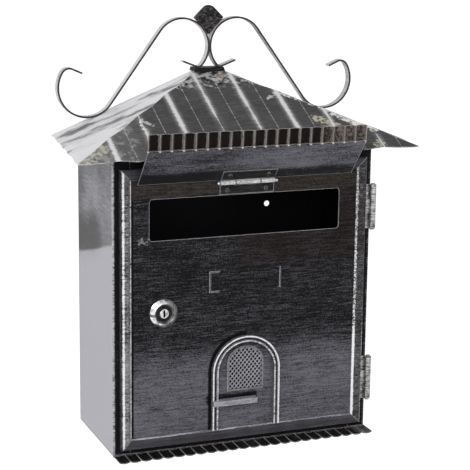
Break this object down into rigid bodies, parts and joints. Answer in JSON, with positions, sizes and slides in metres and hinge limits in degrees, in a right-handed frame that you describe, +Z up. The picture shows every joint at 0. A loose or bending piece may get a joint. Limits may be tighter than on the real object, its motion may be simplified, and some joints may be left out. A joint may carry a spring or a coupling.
{
  "type": "wall mounted mailbox",
  "caption": "House-shaped wall mounted mailbox in antiqued sheet steel with a pleated roof, scroll cresting, a hinged letter flap and a locking front door.",
  "frame": {"origin": "centre of the four fixing holes, on the wall side of the back panel", "axes": "+Y out of the back panel into the wall, +Z up, +X to the right seen from the front; the door faces -Y"},
  "size_m": [0.35, 0.154, 0.4284],
  "materials": {
    "case_sheet": "silver brushed over black, hazy satin",
    "front_sheet": "black with dry-brushed silver strokes, satin",
    "dark_sheet": "black, silver only on the raised cusps, satin",
    "roof_sheet": "dark grey with silver brushed along the crests, satin",
    "flap_sheet": "silver brushed over black, speckled, satin",
    "moulding": "silver brushed over black with bright edges, satin",
    "dark_iron": "black brown, lightly hammered, satin",
    "mesh": "dark grey, satin",
    "hinge_steel": "worn brushed steel",
    "zinc": "zinc plated, satin",
    "lock_chrome": "polished chrome with a darker dish",
    "lock_face": "brushed plug face"
  },
  "bodies": {
    "case": {"back_panel": "case_sheet", "case_side_left": "case_sheet", "case_side_right": "case_sheet", "front_header": "front_sheet", "front_bottom_rail": "front_sheet", "base_plate": "dark_sheet", "roof_front": "roof_sheet", "roof_left": "roof_sheet", "roof_right": "roof_sheet", "ridge_cap": "dark_iron", "scroll_left": "dark_iron", "scroll_right": "dark_iron", "finial_lozenge": "dark_iron", "hinge_upper_case_leaf": "hinge_steel", "hinge_upper_pin": "hinge_steel", "hinge_lower_case_leaf": "hinge_steel", "hinge_lower_pin": "hinge_steel", "hinge_case_rivets": "hinge_steel"},
    "door": {"door_panel": "front_sheet", "door_moulding_left": "moulding", "door_moulding_right": "moulding", "door_moulding_top": "moulding", "door_moulding_bottom": "moulding", "arch_moulding": "moulding", "window_mesh": "mesh", "arch_ledge": "moulding", "hinge_upper_door_leaf": "hinge_steel", "hinge_lower_door_leaf": "hinge_steel", "flap_hinge_door_leaf": "hinge_steel", "flap_hinge_pin": "hinge_steel", "flap_hinge_door_rivets": "hinge_steel", "lock_body": "lock_chrome", "lock_nut": "zinc"},
    "flap": {"flap_plate": "flap_sheet", "flap_hinge_flap_leaf": "hinge_steel", "flap_hinge_flap_rivets": "hinge_steel"},
    "lock_cylinder": {"lock_plug": "lock_face", "lock_cam": "zinc", "lock_cam_screw": "zinc"}
  },
  "joints": [
    {"name": "door_hinge", "type": "hinge", "parent": "case", "child": "door", "pos_m": [0.1365, -0.1196, 0], "axis": [0, 0, 1], "range_deg": [0, 90]},
    {"name": "flap_hinge", "type": "hinge", "parent": "door", "child": "flap", "pos_m": [0, -0.1222, 0.109], "axis": [1, 0, 0], "range_deg": [0, 141]},
    {"name": "lock_turn", "type": "hinge", "parent": "door", "child": "lock_cylinder", "pos_m": [-0.0849, -0.1196, -0.0155], "axis": [0, 1, 0], "range_deg": [0, 90]}
  ]
}
